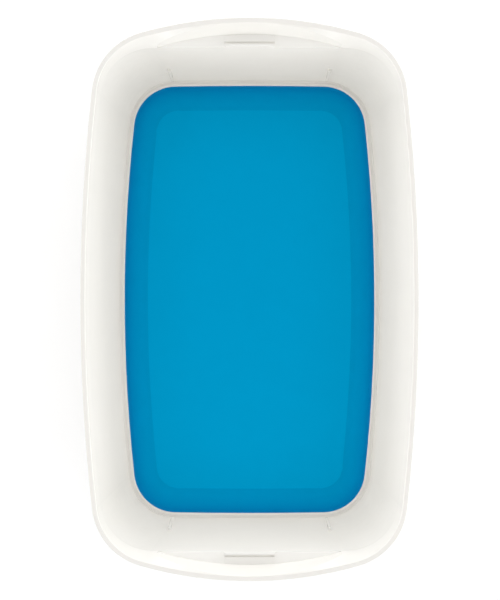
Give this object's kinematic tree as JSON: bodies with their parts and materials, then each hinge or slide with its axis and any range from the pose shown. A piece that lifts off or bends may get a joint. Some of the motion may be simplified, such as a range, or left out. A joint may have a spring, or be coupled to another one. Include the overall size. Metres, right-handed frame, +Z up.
{
  "type": "desk storage tray",
  "caption": "Deep open storage tray with bowed carry-handle ends, lid latch pockets and a coloured bowl-shaped liner held in its base.",
  "frame": {"origin": "centre of the underside, level with the foot ring it stands on", "axes": "+X across the tray, +Y along it towards one handle, +Z up"},
  "size_m": [0.191, 0.318, 0.118],
  "materials": {
    "white_shell": "gloss, very slightly warm white",
    "blue_liner": "satin-gloss blue"
  },
  "bodies": {
    "root": {"outer_shell": "white_shell", "base_liner": "blue_liner"}
  },
  "joints": []
}
